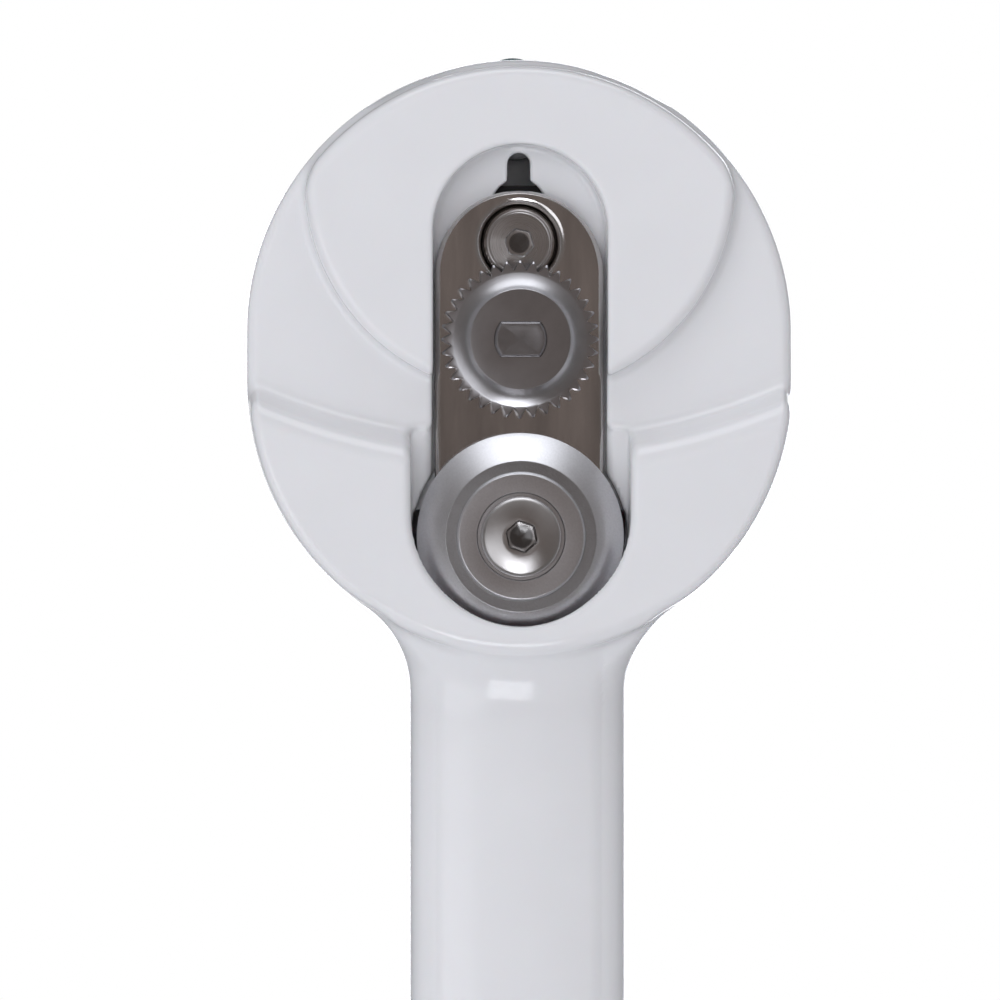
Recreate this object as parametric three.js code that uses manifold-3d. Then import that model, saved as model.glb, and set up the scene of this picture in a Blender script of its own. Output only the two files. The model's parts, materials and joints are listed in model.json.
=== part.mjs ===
// One-handed manual can opener: two-part plastic housing with a handle, a toothed drive wheel on
// the turning knob's shaft, and a cutter wheel on a steel plate that slides towards the drive wheel.
//
// Frame, in millimetres: +Z runs along the handle to the head, -Y faces out of the wheel side,
// +Y out of the knob side. The origin is the middle of the handle's flat end face. All parts hang
// in one group whose origin is the drive axis, so x and z below count from that axis, and every
// turned part turns about Y.

import * as THREE from 'three';
import Module from 'manifold-3d';
import { mergeVertices } from 'three/addons/utils/BufferGeometryUtils.js';

const wasm = await Module();
wasm.setup();

// ---- driving dimensions ----

const AXIS_Z = 165; // height of the drive axis over the handle's end face
const GAP = 0.3; // clearance between pieces that touch
const TRAVEL = 2.6; // how far the slide plate carries the cutter towards the drive wheel
const ROUND = 32; // segments of a large circle
const SMALL_ROUND = 12; // segments of a small circle

// outline of the body, seen from the wheel side
const HEAD_R = 34.3; // the head is two half circles joined by straight sides
const HEAD_UPPER_Z = 0.9;
const HEAD_LOWER_Z = -5.4;
const HANDLE_HALF = 13.6; // half width of the handle
const HANDLE_END_R = 9; // corner radius at the handle's end
const NECK_R = 13; // hollow radius between handle and head
const HANDLE_ROUND = 5; // rounding along the handle's sides
const NECK_HOLLOW_Z = -43; // top of the handle's deeper hollow
const WALL = 2.4; // wall thickness of both shells

// levels along Y: the wheel side is negative
const PARTING_Y = 1; // joint face between the two shells
const HANDLE_FRONT_Y = -9.5;
const BACK_Y = 9.3; // knob-side face of head and handle
const BACK_INNER_Y = 7;
const VALLEY_Y = -10.4; // the can's rim runs on this level
const UPPER_Y = -13.6; // raised face above the drive wheel, inside the can's rim
const LOWER_Y = -15.6; // raised face round the cutter, outside the can's rim
const LEDGE_Y = -10; // ledge beside the slide plate, behind the cutter's edge
const FLOOR_FRONT_Y = -7.6; // floor that the slide plate lies on
const FLOOR_BACK_Y = -5.8;
const PLATFORM_Y = 10.6; // round raised face under the knob
const PLATFORM_R = 18;

// raised faces and openings of the wheel side
const UPPER_DISC_R = 27.1;
const UPPER_DISC_Z = 20.1;
const RIM_ARC_R = 84; // hollow upper edge of the lower raised face
const RIM_ARC_TOP_Z = -15.3;
const RIM_SLOPE = 2.5; // how far that edge's wall leans out from face to valley
const RECESS_HALF = 11;
const RECESS_TOP_Z = 24.6;
const U_HALF = 13.8; // slot round the cutter
const U_TOP_Z = -11.4;
const U_CENTRE_Z = -21.9;
const LIP_UNDER_Y = -14.4; // underside of the lip over the cutter's lowest edge
const POCKET_R = 13.5; // room for the cutter's edge under the lip
const FLOOR_HOLE_Z = -23.6; // the floor is open behind the cutter
const FLOOR_HOLE_TOP_Z = -21.5;
const NUT_SLOT_HALF = 5.3;
const KEY_NECK_HALF = 1.45;
const KEY_TOP_Z = 23.6;
const KEY_HALF = 3.4;
const KEY_CENTRE_Z = 16.9;

// slide group
const PLATE_HALF = 10.65;
const PLATE_FRONT_Y = -9.9;
const PLATE_BACK_Y = -7.9;
const PLATE_TOP_Z = 18.8;
const SCREW_Z = 12.2; // screw that ties the plate to its slide block
const BLOCK_HALF = 8;
const BLOCK_BOTTOM_Z = 7.3;
const BLOCK_TOP_Z = 19.5;
const BLOCK_BACK_Y = -2;
const RAIL_THICK = 2; // guide rails beside the block
const RAIL_Z = [4, 24];
const DIMPLE = { floorR: 4.5, floorY: -8.7, mouthR: 5.3 }; // pressed round the slide screw
const SLIDE_SCREW = { shankR: 2.3, tipY: -4.6, headR: 4.2, seatY: -9, topY: -10, hex: 3.1, hexY: -9.2 };
const SCREW_HOLE_R = 2.6;

// cutter wheel
const CUTTER_Z = -24.8;
const CUTTER_R = 13.06;
const CUTTER_RING_R = 9.5;
const CUTTER_EDGE_Y = -12.55;
const CUTTER_RING_Y = -15.1;
const CUTTER_HUB = { r: 7.8, footR: 8.1, rise: 0.4 };
const CUTTER_SLEEVE_R = 3.9;
const CUTTER_SHANK_HOLE_R = 2.8;
const CUTTER_SCREW = {
  shankR: 2.5, tipY: -4.2, headR: 5.04, seatY: -15.8, topY: -18.1, hex: 3.4, hexY: -16.2,
};
const NUT_FLATS = 8;
const NUT_BACK_Y = -4.4;

// drive wheel and shaft
const TEETH = 36;
const TOOTH_TIP_R = 9.92;
const TOOTH_ROOT_R = 8.85;
const WHEEL_BACK_Y = -10.3;
const WHEEL_TEETH_Y = -12.3;
const WHEEL_HUB_R = 6.3;
const WHEEL_HUB_Y = -13.8;
const SHAFT_R = 4;
const SHAFT_FLAT_HALF = [3.2, 2.1]; // double-D end that the drive wheel is riveted on
const SHAFT_END_Y = -14.4;
const JOURNAL_Y = [-10.1, 12.7]; // round length of the shaft
const SQUARE_HALF = 2.75; // square end that the knob sits on
const SQUARE_Y = [12.5, 21.6];
const SHAFT_BORE_R = 1.8; // takes the knob's screw
const SHAFT_BORE_Y = 13.6;

// pieces threaded on the shaft, from the wheel side to the knob side
const WHEEL_BUSH = { sleeveR: 5.2, sleeve: [-7.4, -1.9], flangeR: 6.6, flange: [-2.7, -1.9] };
const GROOVE = { r: 3.3, y: [-1.9, -0.5] };
const CLIP = { inner: 3.6, outer: 6.2, y: [-1.6, -0.8] };
const CAM_Y = [-0.4, 1.8];
const WAVE_WASHER = { inner: 5, outer: 8, y: [2.1, 2.9] };
const FRICTION_HUB = { outer: 9, y: [3.2, 6.2] };
const KNOB_BUSH = { sleeveR: 6.2, sleeve: [6.8, 11.7], flangeR: 8.4, flange: [10.9, 11.7] };
const THRUST_WASHER = { inner: 4.4, outer: 8, y: [12, 12.7] };

// clamping cam: a spiral slot turns the slide block's pin travel into a part turn
const CAM_R = 15;
const CAM_PIN_R = 9.2; // pin's distance from the drive axis at rest
const CAM_TURN = (120 * Math.PI) / 180;
const PIN_R = 1.4;

// knob
const KNOB_HUB_R = 15.5;
const KNOB_TIP_R = 4.5;
const KNOB_TIP_REACH = 36.3;
const KNOB_FLANK_R = 45;
const KNOB_BASE_Y = 11.2;
const KNOB_TOP_Y = 28;
const GRIP_Y = [13.6, 22.6];
const GRIP_THICK = 2;
const KNOB_WELL = { r: 9.2, y: 13 }; // room in the knob's base for bush and washer
const KNOB_SCREW = { shankR: 1.5, tipY: 15, headR: 4, seatY: 23.9, topY: 25.9, hex: 2.8, hexY: 24.7 };
const KNOB_CAP_R = 8;
const KNOB_CAP_Y = [26.5, 28.7];

// housing screws: x, z of each, all driven from the knob side
const HOUSING_SCREWS = {
  housing_screw_top: [0, 27.4],
  housing_screw_left: [-25, -12],
  housing_screw_right: [25, -12],
  housing_screw_handle_upper: [0, -72],
  housing_screw_handle_lower: [0, -140],
};
const SCREW_HEAD_R = 2.8;
const SCREW_SHANK_R = 1.3;
const SCREW_TIP_Y = -4.4;
const SCREW_SEAT_Y = 5;
const BOSS_R = 3.1; // wheel-side boss that a screw cuts its thread in
const SEAT_BOSS_R = 4.4; // knob-side boss under a screw's head
const SPRING = { x: 5.3, y: -3.9, r: 1.35, wireR: 0.3, turns: 6 };
const SPRING_STOP_Z = 30.2;

// ---- solids: closed meshes that can be joined and cut ----

function solid(geometry) {
  const plain = geometry.clone();
  plain.deleteAttribute('normal');
  plain.deleteAttribute('uv');
  const merged = mergeVertices(plain, 1e-4);
  const triVerts = new Uint32Array(merged.index.array);
  const vertProperties = new Float32Array(merged.attributes.position.array);
  if (signedVolume(vertProperties, triVerts) < 0) {
    for (let i = 0; i < triVerts.length; i += 3) {
      [triVerts[i], triVerts[i + 1]] = [triVerts[i + 1], triVerts[i]];
    }
  }
  return new wasm.Manifold(new wasm.Mesh({ numProp: 3, vertProperties, triVerts }));
}

function signedVolume(points, triangles) {
  const at = (i) => new THREE.Vector3(points[3 * i], points[3 * i + 1], points[3 * i + 2]);
  let volume = 0;
  for (let i = 0; i < triangles.length; i += 3) {
    const [a, b, c] = [at(triangles[i]), at(triangles[i + 1]), at(triangles[i + 2])];
    volume += a.dot(b.cross(c)) / 6;
  }
  return volume;
}

function geometryOf(body) {
  const mesh = body.getMesh();
  const geometry = new THREE.BufferGeometry();
  geometry.setAttribute('position', new THREE.BufferAttribute(mesh.vertProperties, 3));
  geometry.setIndex(new THREE.BufferAttribute(mesh.triVerts, 1));
  geometry.computeVertexNormals();
  return geometry;
}

const join = (...bodies) => bodies.reduce((a, b) => a.add(b));
const cut = (body, ...tools) => tools.reduce((a, b) => a.subtract(b), body);

// An x, z outline made solid from yLow to yHigh. bevel rounds both faces inside the outline.
function slab(shape, yLow, yHigh, bevel = 0, steps = 2, curve = 8) {
  const geometry = new THREE.ExtrudeGeometry(shape, {
    depth: yHigh - yLow - 2 * bevel,
    bevelEnabled: bevel > 0,
    bevelThickness: bevel,
    bevelSize: bevel,
    bevelOffset: -bevel,
    bevelSegments: steps,
    curveSegments: curve,
  });
  geometry.rotateX(Math.PI / 2); // the outline's second axis becomes z, its depth runs to -y
  geometry.translate(0, yHigh - bevel, 0);
  return solid(geometry);
}

// A body turned about the Y axis through x, z. The profile is [radius, y] pairs.
function turned(profile, x = 0, z = 0, segments = ROUND) {
  const points = profile.map(([r, y]) => new THREE.Vector2(r, y));
  const geometry = new THREE.LatheGeometry(points, segments);
  geometry.translate(x, 0, z);
  return solid(geometry);
}

const disc = (r, yLow, yHigh, x = 0, z = 0, segments = ROUND) =>
  turned([[0, yLow], [r, yLow], [r, yHigh], [0, yHigh]], x, z, segments);

const ring = (inner, outer, yLow, yHigh, x = 0, z = 0, segments = ROUND) =>
  turned([[inner, yLow], [outer, yLow], [outer, yHigh], [inner, yHigh], [inner, yLow]], x, z, segments);

function box(xLow, xHigh, yLow, yHigh, zLow, zHigh) {
  const geometry = new THREE.BoxGeometry(xHigh - xLow, yHigh - yLow, zHigh - zLow);
  geometry.translate((xLow + xHigh) / 2, (yLow + yHigh) / 2, (zLow + zHigh) / 2);
  return solid(geometry);
}

const FAR = 400;
const below = (y) => box(-FAR, FAR, -FAR, y, -FAR, FAR);
const above = (y) => box(-FAR, FAR, y, FAR, -FAR, FAR);
const beneath = (z) => box(-FAR, FAR, -FAR, FAR, -FAR, z);

// ---- outlines in x, z ----

const circle = (r, z = 0, x = 0) => new THREE.Shape().absarc(x, z, r, 0, 2 * Math.PI, false);

function headOutline(inset = 0) {
  const shape = new THREE.Shape();
  shape.absarc(0, HEAD_LOWER_Z, HEAD_R - inset, Math.PI, 2 * Math.PI, false);
  shape.absarc(0, HEAD_UPPER_Z, HEAD_R - inset, 0, Math.PI, false);
  return shape;
}

// Head, neck and handle in one line: the neck's hollow arcs touch both the head and the handle.
function bodyOutline(inset = 0) {
  const end = -AXIS_Z + inset;
  const half = HANDLE_HALF - inset;
  const corner = HANDLE_END_R - inset;
  const neck = NECK_R + inset;
  const head = HEAD_R - inset;
  const neckX = half + neck;
  const neckZ = HEAD_LOWER_Z - Math.sqrt((head + neck) ** 2 - neckX ** 2);
  const touch = Math.atan2(neckZ - HEAD_LOWER_Z, neckX);
  const shape = new THREE.Shape();
  shape.absarc(half - corner, end + corner, corner, -Math.PI / 2, 0, false);
  shape.absarc(neckX, neckZ, neck, Math.PI, Math.PI + touch, true);
  shape.absarc(0, HEAD_LOWER_Z, head, touch, 0, false);
  shape.absarc(0, HEAD_UPPER_Z, head, 0, Math.PI, false);
  shape.absarc(0, HEAD_LOWER_Z, head, Math.PI, Math.PI - touch, false);
  shape.absarc(-neckX, neckZ, neck, -touch, 0, true);
  shape.absarc(corner - half, end + corner, corner, Math.PI, 1.5 * Math.PI, false);
  return shape;
}

// A slot with straight sides and round ends, its axis along z.
function slot(half, zLow, zHigh, x = 0) {
  const shape = new THREE.Shape();
  shape.absarc(x, zLow + half, half, Math.PI, 2 * Math.PI, false);
  shape.absarc(x, zHigh - half, half, 0, Math.PI, false);
  return shape;
}

// A slot that is round at its top only.
function arch(half, zLow, zHigh) {
  const shape = new THREE.Shape();
  shape.moveTo(-half, zLow);
  shape.lineTo(half, zLow);
  shape.absarc(0, zHigh - half, half, 0, Math.PI, false);
  return shape;
}

// A round disc with two flats, for the shaft's riveted end and the hole it sits in.
function doubleD(halfLength, halfHeight) {
  const angle = Math.asin(halfHeight / halfLength);
  const shape = new THREE.Shape();
  shape.absarc(0, 0, halfLength, -angle, angle, false);
  shape.absarc(0, 0, halfLength, Math.PI - angle, Math.PI + angle, false);
  return shape;
}

function polygon(sides, acrossFlats) {
  const r = acrossFlats / 2 / Math.cos(Math.PI / sides);
  const shape = new THREE.Shape();
  for (let i = 0; i < sides; i += 1) {
    const angle = (2 * Math.PI * i) / sides + Math.PI / 2;
    const [x, z] = [r * Math.cos(angle), r * Math.sin(angle)];
    if (i === 0) shape.moveTo(x, z);
    else shape.lineTo(x, z);
  }
  return shape;
}

function toothedOutline() {
  const shape = new THREE.Shape();
  for (let i = 0; i < 2 * TEETH; i += 1) {
    const r = i % 2 === 0 ? TOOTH_TIP_R : TOOTH_ROOT_R;
    const angle = (Math.PI * i) / TEETH;
    if (i === 0) shape.moveTo(r, 0);
    else shape.lineTo(r * Math.cos(angle), r * Math.sin(angle));
  }
  return shape;
}

// Wing knob: a round hub and two round tips joined by hollow flanks that touch both.
function knobOutline(inset = 0) {
  const reach = KNOB_TIP_REACH - KNOB_TIP_R;
  const [hub, tip, flank] = [KNOB_HUB_R - inset, KNOB_TIP_R - inset, KNOB_FLANK_R + inset];
  const flankZ = ((hub + flank) ** 2 - (tip + flank) ** 2 + reach ** 2) / (2 * reach);
  const flankX = Math.sqrt((hub + flank) ** 2 - flankZ ** 2);
  const atHub = Math.atan2(flankZ, flankX); // where a flank touches the hub
  const atTip = Math.atan2(flankZ - reach, flankX); // and where it touches the tip
  const shape = new THREE.Shape();
  shape.absarc(0, 0, hub, -atHub, atHub, false);
  shape.absarc(flankX, flankZ, flank, Math.PI + atHub, Math.PI + atTip, true);
  shape.absarc(0, reach, tip, atTip, Math.PI - atTip, false);
  shape.absarc(-flankX, flankZ, flank, -atTip, -atHub, true);
  shape.absarc(0, 0, hub, Math.PI - atHub, Math.PI + atHub, false);
  shape.absarc(-flankX, -flankZ, flank, atHub, atTip, true);
  shape.absarc(0, -reach, tip, Math.PI + atTip, 2 * Math.PI - atTip, false);
  shape.absarc(flankX, -flankZ, flank, Math.PI - atTip, Math.PI - atHub, true);
  return shape;
}

// ---- shells ----

const rearY = PARTING_Y - GAP / 2; // joint face of the wheel-side shell
const frontY = PARTING_Y + GAP / 2; // joint face of the knob-side shell
const screwPlaces = Object.values(HOUSING_SCREWS);
const RIM_ARC_Z = RIM_ARC_TOP_Z + RIM_ARC_R;

function upperFace(inset, yLow, bevel) {
  const outer = slab(headOutline(0.8 + inset), yLow, 0, bevel);
  return outer.intersect(slab(circle(UPPER_DISC_R - inset, UPPER_DISC_Z), yLow, 0, bevel, 2, 20));
}

function lowerFace(inset, yLow, bevel) {
  const outer = slab(headOutline(inset), yLow, 0, bevel);
  const [wide, narrow] = [RIM_ARC_R + inset, RIM_ARC_R + inset - RIM_SLOPE];
  const out = LOWER_Y - 1;
  const profile = [[0, out], [wide, out], [wide, LOWER_Y], [narrow, VALLEY_Y], [narrow, 1], [0, 1]];
  return cut(outer, turned(profile, 0, RIM_ARC_Z, 4 * ROUND));
}

function wheelSideBlank() {
  const grip = slab(bodyOutline(), HANDLE_FRONT_Y, BACK_Y, HANDLE_ROUND, 3, 5);
  const head = slab(headOutline(), VALLEY_Y, BACK_Y, 1.2);
  return join(grip, head, upperFace(0, UPPER_Y, 1), lowerFace(0, LOWER_Y, 1.3)).intersect(below(rearY));
}

// Everything cut from outside: the plate's recess, the cutter's slot and pocket, and the holes.
function wheelSideOpenings() {
  const out = LOWER_Y - 1;
  const inside = FLOOR_BACK_Y + 1;
  const pocket = disc(POCKET_R, LIP_UNDER_Y, FLOOR_FRONT_Y, 0, CUTTER_Z).intersect(beneath(CUTTER_Z));
  const floorHole = disc(POCKET_R, LIP_UNDER_Y, inside, 0, FLOOR_HOLE_Z).intersect(beneath(FLOOR_HOLE_TOP_Z));
  const cutterSlot = slot(U_HALF, U_CENTRE_Z - U_HALF, 0);
  const nutSlot = slot(NUT_SLOT_HALF, CUTTER_Z - NUT_SLOT_HALF, CUTTER_Z + TRAVEL + NUT_SLOT_HALF);
  return [
    slab(arch(RECESS_HALF, CUTTER_Z, RECESS_TOP_Z), out, FLOOR_FRONT_Y),
    slab(cutterSlot, out, LEDGE_Y).intersect(beneath(U_TOP_Z)),
    pocket,
    floorHole,
    slab(nutSlot, LIP_UNDER_Y, inside),
    slab(slot(KEY_HALF, SCREW_Z - KEY_HALF, KEY_CENTRE_Z + KEY_HALF), out, inside),
    slab(slot(KEY_NECK_HALF, KEY_CENTRE_Z, KEY_TOP_Z), out, inside, 0, 1, 8),
  ];
}

// The space inside: the main hollow, the deeper handle, and pockets behind both raised faces.
function wheelSideHollows() {
  const main = slab(bodyOutline(WALL), FLOOR_BACK_Y, FAR, 0, 1, 5);
  const handleSlot = slot(HANDLE_HALF - WALL, WALL - AXIS_Z, NECK_HOLLOW_Z);
  const handle = slab(handleSlot, HANDLE_FRONT_Y + 2.2, 5, 3, 2, 4);
  const spineHalf = RECESS_HALF + WALL;
  const cheekHalf = U_HALF + WALL;
  const spine = box(-spineHalf, spineHalf, -FAR, FAR, -FAR, RECESS_TOP_Z + WALL);
  const cheeks = box(-cheekHalf, cheekHalf, -FAR, FAR, -FAR, FAR);
  const behind = below(FLOOR_BACK_Y + 0.1);
  const upper = cut(upperFace(WALL, UPPER_Y + WALL, 0), spine).intersect(behind);
  const lower = cut(lowerFace(WALL, LOWER_Y + WALL, 0), cheeks).intersect(behind);
  return [main, handle, upper, lower];
}

function wheelSideHousing() {
  const shell = cut(wheelSideBlank(), ...wheelSideHollows());
  const root = FLOOR_BACK_Y - 0.1;
  const railX = BLOCK_HALF + GAP;
  const rails = [-railX - RAIL_THICK, railX].map((x) =>
    box(x, x + RAIL_THICK, root, BLOCK_BACK_Y, ...RAIL_Z),
  );
  const springStop = box(-9, 9, root, BLOCK_BACK_Y, SPRING_STOP_Z, SPRING_STOP_Z + 1.6);
  const bushBoss = disc(WHEEL_BUSH.sleeveR + GAP + 1.4, root, WHEEL_BUSH.flange[0] - GAP);
  const bosses = screwPlaces.map(([x, z]) => disc(BOSS_R, z > -40 ? -9.8 : -7.8, rearY, x, z, SMALL_ROUND));
  const pilots = screwPlaces.map(([x, z]) => disc(SCREW_SHANK_R + GAP, -5, 5, x, z, SMALL_ROUND));
  const body = join(shell, ...rails, springStop, bushBoss, ...bosses);
  return cut(body, ...pilots, ...wheelSideOpenings(), disc(WHEEL_BUSH.sleeveR + GAP, -20, 0));
}

function knobSideHousing() {
  const grip = slab(bodyOutline(), HANDLE_FRONT_Y, BACK_Y, HANDLE_ROUND, 3, 5);
  const head = slab(headOutline(), -5, BACK_Y, 3, 3);
  const platform = slab(circle(PLATFORM_R), 0, PLATFORM_Y, 0.7, 2);
  const blank = join(grip, head, platform).intersect(above(frontY));
  const hollow = slab(bodyOutline(WALL), -FAR, BACK_INNER_Y, 0, 1, 5);
  const bosses = screwPlaces.map(([x, z]) => disc(SEAT_BOSS_R, frontY, BACK_INNER_Y + 1, x, z, SMALL_ROUND));
  const bores = screwPlaces.flatMap(([x, z]) => [
    disc(SCREW_SHANK_R + GAP, -1, 12, x, z, SMALL_ROUND),
    disc(SCREW_HEAD_R + GAP, SCREW_SEAT_Y, 12, x, z, SMALL_ROUND),
  ]);
  return cut(join(cut(blank, hollow), ...bosses), ...bores, disc(KNOB_BUSH.sleeveR + GAP, -1, 20));
}

// Self-tapping screw with a cross recess, its tip towards the wheel side.
function housingScrew(x, z) {
  const seat = SCREW_SEAT_Y + GAP;
  const profile = [
    [0, SCREW_TIP_Y], [0.4, SCREW_TIP_Y], [SCREW_SHANK_R, SCREW_TIP_Y + 1.4], [SCREW_SHANK_R, seat],
    [SCREW_HEAD_R, seat],
    [SCREW_HEAD_R, seat + 1.1], [1.9, seat + 1.8], [0, seat + 1.9],
  ];
  const recess = [[1.5, 0.3], [0.3, 1.5]].map(([a, b]) => box(x - a, x + a, seat + 0.8, 9, z - b, z + b));
  return cut(turned(profile, x, z, SMALL_ROUND), ...recess);
}

// ---- drive group: turns with the knob ----

function driveShaft() {
  const [low, high] = JOURNAL_Y;
  const [a, b] = GROOVE.y;
  const rivet = slab(doubleD(...SHAFT_FLAT_HALF), SHAFT_END_Y, low + 0.1, 0, 1, 6);
  const groove = [[SHAFT_R, a], [GROOVE.r, a], [GROOVE.r, b], [SHAFT_R, b]];
  const journal = turned([[0, low], [SHAFT_R, low], ...groove, [SHAFT_R, high], [0, high]]);
  const square = box(-SQUARE_HALF, SQUARE_HALF, ...SQUARE_Y, -SQUARE_HALF, SQUARE_HALF);
  return cut(join(rivet, journal, square), disc(SHAFT_BORE_R, SHAFT_BORE_Y, 30, 0, 0, SMALL_ROUND));
}

function driveWheel() {
  const teeth = slab(toothedOutline(), WHEEL_TEETH_Y, WHEEL_BACK_Y);
  const hub = turned([
    [0, WHEEL_BACK_Y + 0.1], [8.3, WHEEL_BACK_Y + 0.1], [8.3, WHEEL_TEETH_Y - 0.05], [7.2, -12.75],
    [WHEEL_HUB_R, WHEEL_HUB_Y + 0.15], [WHEEL_HUB_R - 0.15, WHEEL_HUB_Y], [0, WHEEL_HUB_Y],
  ]);
  const [a, b] = SHAFT_FLAT_HALF;
  const body = join(teeth, hub.intersect(below(WHEEL_BACK_Y)));
  return cut(body, slab(doubleD(a + GAP, b + GAP), -20, 0, 0, 1, 6));
}

const shaftClip = () => cut(ring(CLIP.inner, CLIP.outer, ...CLIP.y), box(-2, 2, -5, 5, -8, 0));
const frictionHub = () => ring(SHAFT_R + GAP, FRICTION_HUB.outer, ...FRICTION_HUB.y);
const washer = ({ inner, outer, y }) => ring(inner, outer, ...y);

const bush = ({ sleeveR, sleeve, flangeR, flange }) =>
  cut(join(disc(sleeveR, ...sleeve), disc(flangeR, ...flange)), disc(SHAFT_R + GAP, -20, 20));

// Cam disc: its spiral slot leaves the axis at a steady rate, so the pin moves evenly with its turn.
function clampCam() {
  const half = PIN_R + GAP;
  const place = (turn, offset) => {
    const r = CAM_PIN_R + (TRAVEL * turn) / CAM_TURN + offset;
    return new THREE.Vector2(-r * Math.sin(turn), r * Math.cos(turn));
  };
  const steps = 20;
  const turns = Array.from({ length: steps + 1 }, (_, i) => (CAM_TURN * i) / steps);
  const spiral = [
    ...turns.map((turn) => place(turn, half)),
    ...turns.toReversed().map((turn) => place(turn, -half)),
  ];
  const ends = [place(0, 0), place(CAM_TURN, 0)].map((p) => disc(half, -1, 3, p.x, p.y, SMALL_ROUND));
  const track = join(slab(new THREE.Shape(spiral), -1, 3), ...ends);
  return cut(ring(SHAFT_R + GAP, CAM_R, ...CAM_Y), track);
}

function knobBody() {
  const core = slab(knobOutline(GRIP_THICK + GAP), KNOB_BASE_Y + 1, KNOB_TOP_Y - 3, 0, 1, 4);
  const base = slab(knobOutline(0.5), KNOB_BASE_Y, GRIP_Y[0] - GAP, 0.5, 1, 4);
  const crown = slab(knobOutline(0.5), GRIP_Y[1] - 4, KNOB_TOP_Y, 3, 3, 4).intersect(above(GRIP_Y[1] + GAP));
  const hole = SQUARE_HALF + GAP;
  return cut(
    join(core, base, crown),
    disc(KNOB_WELL.r, 0, KNOB_WELL.y),
    box(-hole, hole, 12, SQUARE_Y[1] + GAP, -hole, hole),
    disc(KNOB_SCREW.shankR + 0.7, 20, KNOB_SCREW.seatY, 0, 0, SMALL_ROUND),
    disc(KNOB_SCREW.headR + 0.4, KNOB_SCREW.seatY - GAP, KNOB_CAP_Y[0]),
    disc(KNOB_CAP_R + GAP, KNOB_CAP_Y[0] - GAP, 40),
  );
}

function knobGrip() {
  const inner = slab(knobOutline(GRIP_THICK), GRIP_Y[0] - 1, GRIP_Y[1] + 1, 0, 1, 4);
  return cut(slab(knobOutline(), ...GRIP_Y, 0.6, 1, 4), inner);
}

function knobScrew() {
  const { shankR, tipY, headR, seatY, topY, hex, hexY } = KNOB_SCREW;
  const head = [[headR, seatY], [headR, topY - 0.7], [headR - 0.8, topY], [0, topY]];
  const body = turned([[0, tipY], [shankR, tipY], [shankR, seatY], ...head], 0, 0, SMALL_ROUND);
  return cut(body, slab(polygon(6, hex), hexY, topY + 1));
}

function knobCap() {
  const [low, high] = KNOB_CAP_Y;
  const dome = [[KNOB_CAP_R, high - 0.8], [KNOB_CAP_R - 0.8, high - 0.4], [4, high - 0.1], [0, high]];
  return turned([[0, low], [KNOB_CAP_R, low], ...dome]);
}

// ---- slide group ----

function slidePlate() {
  const outline = slot(PLATE_HALF, CUTTER_Z - 9.4, PLATE_TOP_Z);
  const plate = slab(outline, PLATE_FRONT_Y, PLATE_BACK_Y, 0.4, 2);
  const reach = SHAFT_R + GAP;
  const shaftSlot = slab(slot(reach, -TRAVEL - reach, reach), -20, 0);
  const { floorR, floorY, mouthR } = DIMPLE;
  const mouth = [[mouthR, PLATE_FRONT_Y], [mouthR, -12], [0, -12]];
  const dimple = turned([[0, floorY], [floorR, floorY], ...mouth], 0, SCREW_Z);
  const holes = [[SCREW_HOLE_R, SCREW_Z], [CUTTER_SHANK_HOLE_R, CUTTER_Z]].map(([r, z]) =>
    disc(r, -20, 0, 0, z, SMALL_ROUND),
  );
  return cut(plate, shaftSlot, dimple, ...holes);
}

function slideScrew() {
  const { shankR, tipY, headR, seatY, topY, hex, hexY } = SLIDE_SCREW;
  const head = [[headR, seatY], [headR, topY + 0.4], [headR - 0.4, topY + 0.05], [0, topY]];
  const body = turned([[0, tipY], [shankR, tipY], [shankR, seatY], ...head], 0, SCREW_Z);
  return cut(body, slab(polygon(6, hex), topY - 1, hexY).translate([0, 0, SCREW_Z]));
}

function slideBlock() {
  const block = box(-BLOCK_HALF, BLOCK_HALF, FLOOR_BACK_Y + GAP, BLOCK_BACK_Y, BLOCK_BOTTOM_Z, BLOCK_TOP_Z);
  const boss = disc(KEY_HALF - GAP - 0.1, PLATE_BACK_Y + GAP, FLOOR_BACK_Y + 0.5, 0, SCREW_Z, SMALL_ROUND);
  const screwHole = disc(SCREW_HOLE_R, -9, SLIDE_SCREW.tipY + GAP, 0, SCREW_Z, SMALL_ROUND);
  const pinHole = disc(PIN_R + GAP, -4, 0, 0, CAM_PIN_R, SMALL_ROUND);
  return cut(join(block, boss), screwHole, pinHole);
}

const followerPin = () => disc(PIN_R, -3.7, 1.5, 0, CAM_PIN_R, SMALL_ROUND);

// ---- cutter group ----

function cutterWheel() {
  const hubY = CUTTER_RING_Y - CUTTER_HUB.rise;
  const bore = CUTTER_SLEEVE_R + GAP;
  const profile = [
    [bore, CUTTER_EDGE_Y], [CUTTER_R - 0.06, CUTTER_EDGE_Y], [CUTTER_R, CUTTER_EDGE_Y - 0.08],
    [CUTTER_RING_R, CUTTER_RING_Y], [CUTTER_HUB.footR, CUTTER_RING_Y], [CUTTER_HUB.r, hubY], [bore, hubY],
    [bore, CUTTER_EDGE_Y],
  ];
  return turned(profile, 0, CUTTER_Z, 48);
}

function cutterScrew() {
  const { shankR, tipY, headR, seatY, topY, hex, hexY } = CUTTER_SCREW;
  const dome = [[headR, seatY], [4.8, topY + 1.5], [4, topY + 0.8], [2.6, topY + 0.2], [0, topY]];
  const body = turned([[0, tipY], [shankR, tipY], [shankR, seatY], ...dome], 0, CUTTER_Z);
  return cut(body, slab(polygon(6, hex), topY - 1, hexY).translate([0, 0, CUTTER_Z]));
}

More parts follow.
